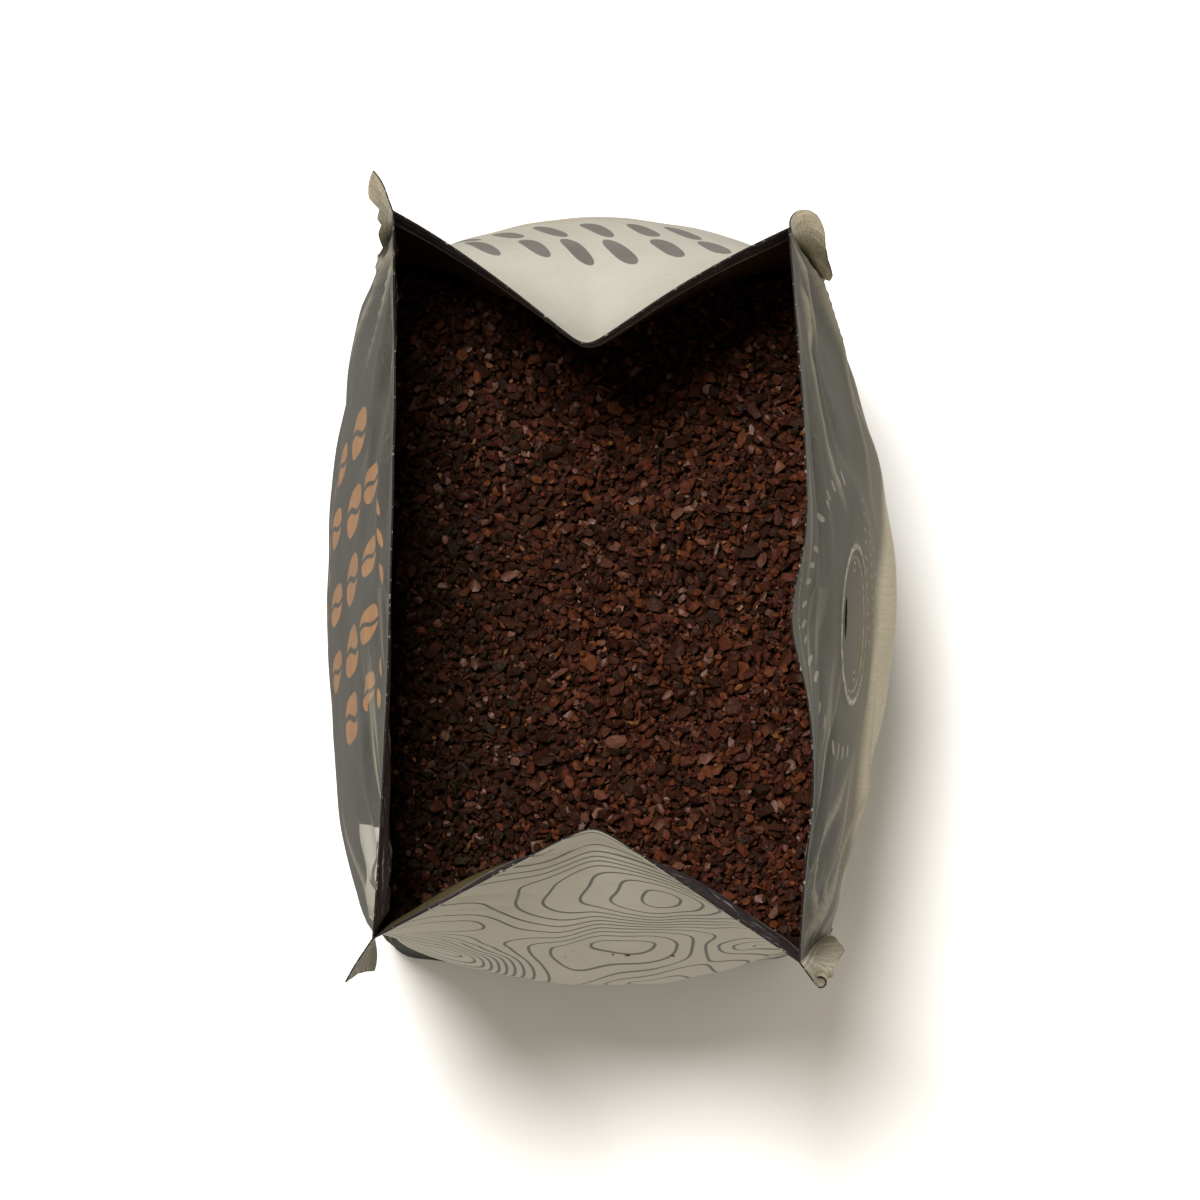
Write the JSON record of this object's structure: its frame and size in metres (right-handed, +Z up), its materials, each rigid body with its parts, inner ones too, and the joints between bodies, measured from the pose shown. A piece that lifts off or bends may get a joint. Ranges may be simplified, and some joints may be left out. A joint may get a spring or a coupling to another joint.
{
  "type": "open bag of ground coffee",
  "caption": "Open side-gusset film bag with fin seals at its corners, a one-way valve in one panel and a folded-in mouth, filled with coarse ground coffee.",
  "frame": {"origin": "middle of the bag's outline in plan, at the bottom of the base", "axes": "+Z up out of the mouth, +X towards the panel that holds the valve, +Y along the panels towards the deeper folded gusset"},
  "size_m": [0.0806, 0.1108, 0.17],
  "materials": {
    "film": "satin",
    "coffee": "matte, granular",
    "valve": "satin"
  },
  "bodies": {
    "root": {"bag": "film", "ground_coffee": "coffee", "valve": "valve"}
  },
  "joints": []
}
